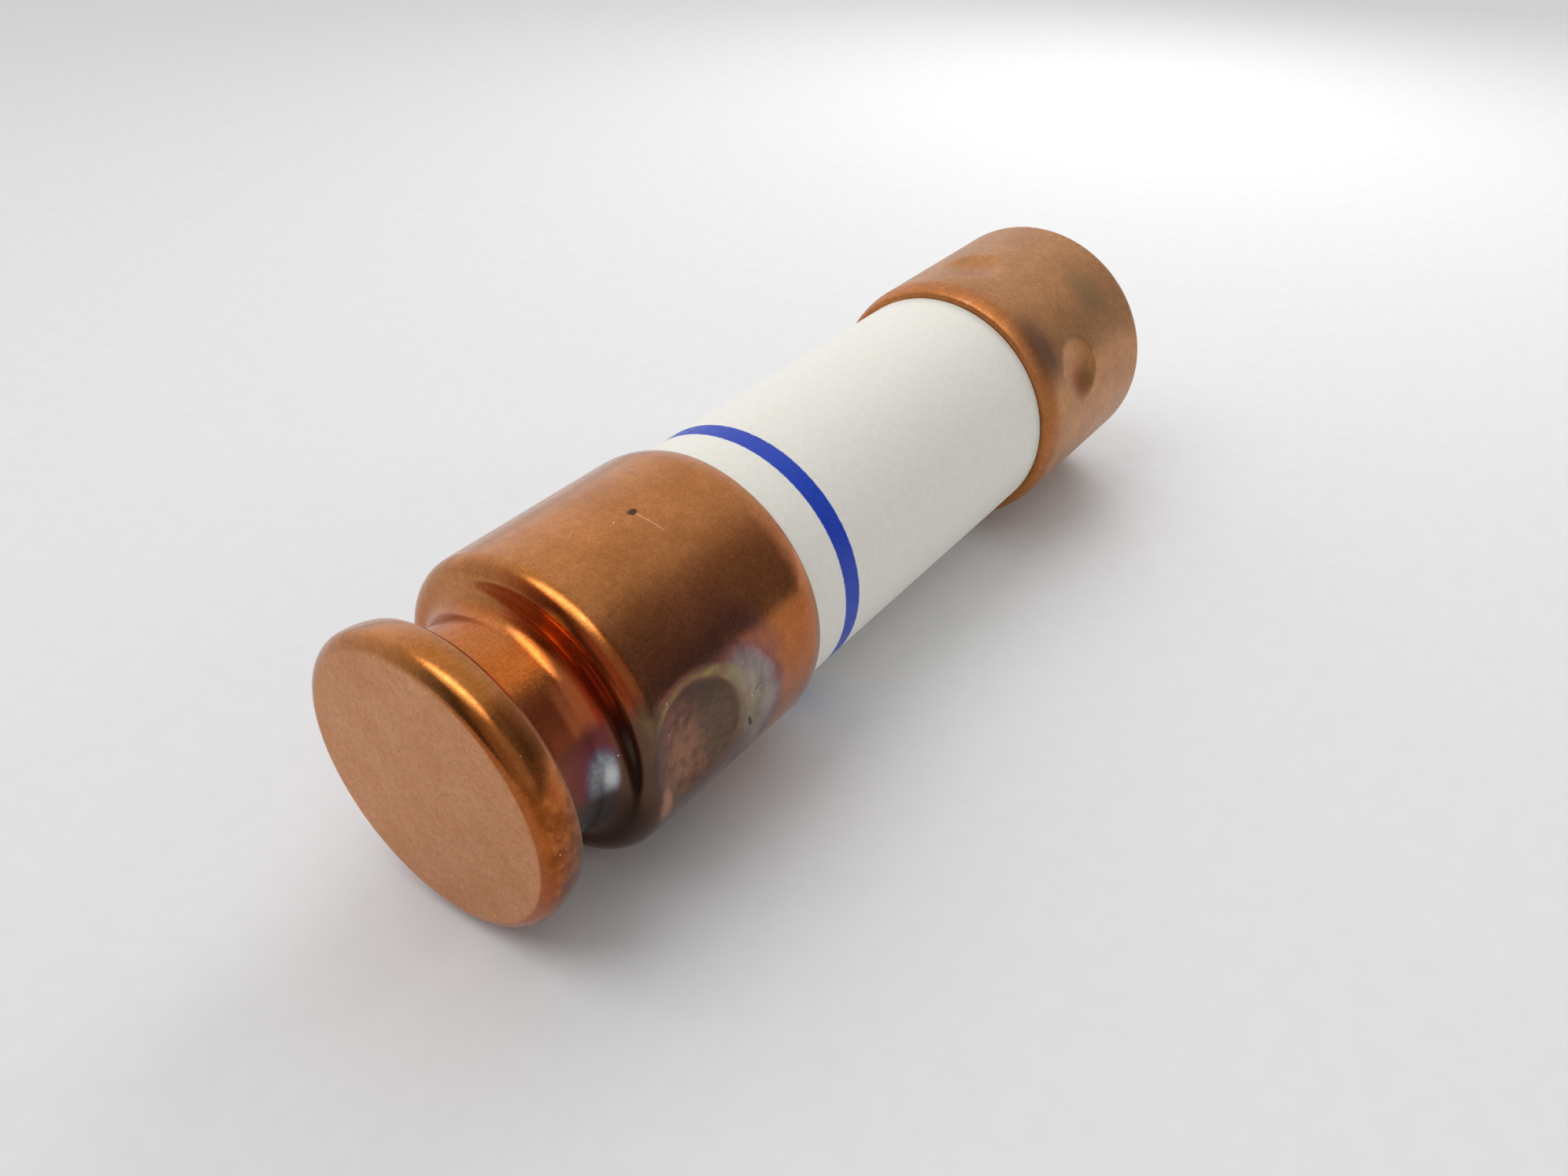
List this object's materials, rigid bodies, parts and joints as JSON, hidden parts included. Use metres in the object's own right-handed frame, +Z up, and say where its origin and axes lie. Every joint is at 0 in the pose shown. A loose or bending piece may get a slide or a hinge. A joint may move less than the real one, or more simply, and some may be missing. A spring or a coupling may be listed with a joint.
{
  "type": "cartridge fuse",
  "caption": "Time-delay cartridge fuse: insulating tube with a striped label, copper ferrules, one with a rejection groove and knob; inside, a link in sand and a sprung overload trigger.",
  "frame": {"origin": "under the middle of the fuse, on the surface that it lies on", "axes": "+X along the fuse's axis, from the grooved end towards the plain end; +Z up from the surface it lies on"},
  "size_m": [0.0508, 0.0142, 0.0143],
  "materials": {
    "ferrule_copper": "satin drawn copper, heat tinted by soldering",
    "tube_fibre": "plain vulcanised fibre",
    "label_paper": "smooth coated paper with a printed band",
    "disc_fibre": "punched fibre board",
    "solder": "dull solder",
    "element_copper": "rolled copper strip",
    "quartz_sand": "packed quartz sand",
    "trigger_brass": "turned brass",
    "resistance_strip": "resistance alloy strip",
    "fusible_alloy": "low-melting alloy",
    "spring_steel": "drawn spring wire"
  },
  "bodies": {
    "fuse": {"rejection_ferrule": "ferrule_copper", "plain_ferrule": "ferrule_copper", "body_tube": "tube_fibre", "label_sleeve": "label_paper", "front_end_disc": "disc_fibre", "rear_end_disc": "disc_fibre", "chamber_partition": "disc_fibre", "guide_support_disc": "disc_fibre", "front_solder_fill": "solder", "rear_solder_fill": "solder", "short_circuit_link": "element_copper", "sand_filler": "quartz_sand", "heat_absorber": "trigger_brass", "heater_band": "resistance_strip", "fusible_alloy": "fusible_alloy", "spring_seat_washer": "disc_fibre", "trigger_guide_tube": "tube_fibre", "trigger_spring": "spring_steel", "flexible_connector": "element_copper"},
    "trigger": {"trigger_plunger": "trigger_brass"}
  },
  "joints": [
    {"name": "trigger_slide", "type": "slide", "parent": "fuse", "child": "trigger", "axis": [1, 0, 0], "range_m": [0, 0.004], "deforming": ["trigger_spring", "flexible_connector"]}
  ]
}
